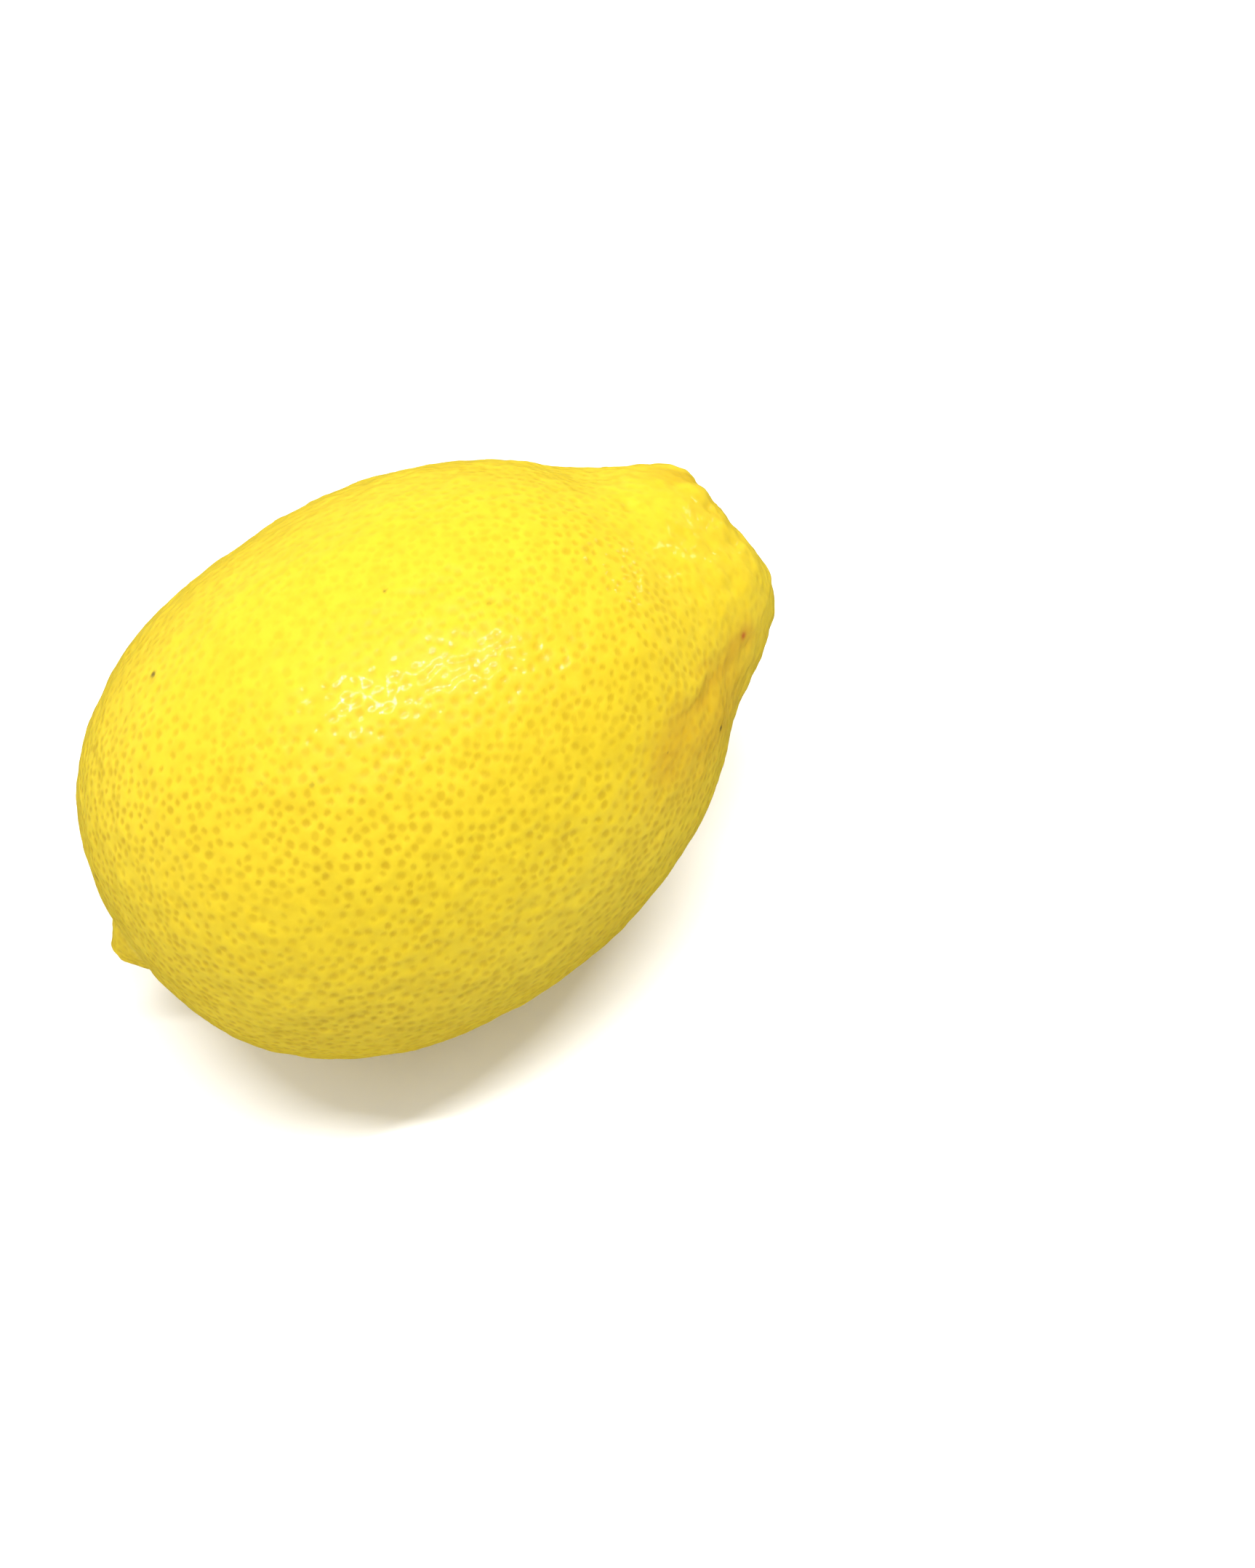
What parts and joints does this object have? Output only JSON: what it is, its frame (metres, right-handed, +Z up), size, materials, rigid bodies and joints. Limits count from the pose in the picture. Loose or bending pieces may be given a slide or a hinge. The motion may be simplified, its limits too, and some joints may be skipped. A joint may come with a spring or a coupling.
{
  "type": "whole lemon",
  "caption": "Whole ripe lemon lying on its side: rounded belly, broad stem neck with a stem scar, small blossom tip, and a small flat resting spot.",
  "frame": {"origin": "middle of the bounding box's underside, on the surface that the lemon rests on", "axes": "+X runs along the fruit from the blossom tip to the stem neck as seen from above, +Z is up, +Y completes a right-handed frame"},
  "size_m": [0.0842, 0.06, 0.0603],
  "materials": {
    "rind": "waxy yellow rind with small round oil glands, satin with soft highlights"
  },
  "bodies": {
    "root": {"lemon": "rind"}
  },
  "joints": []
}
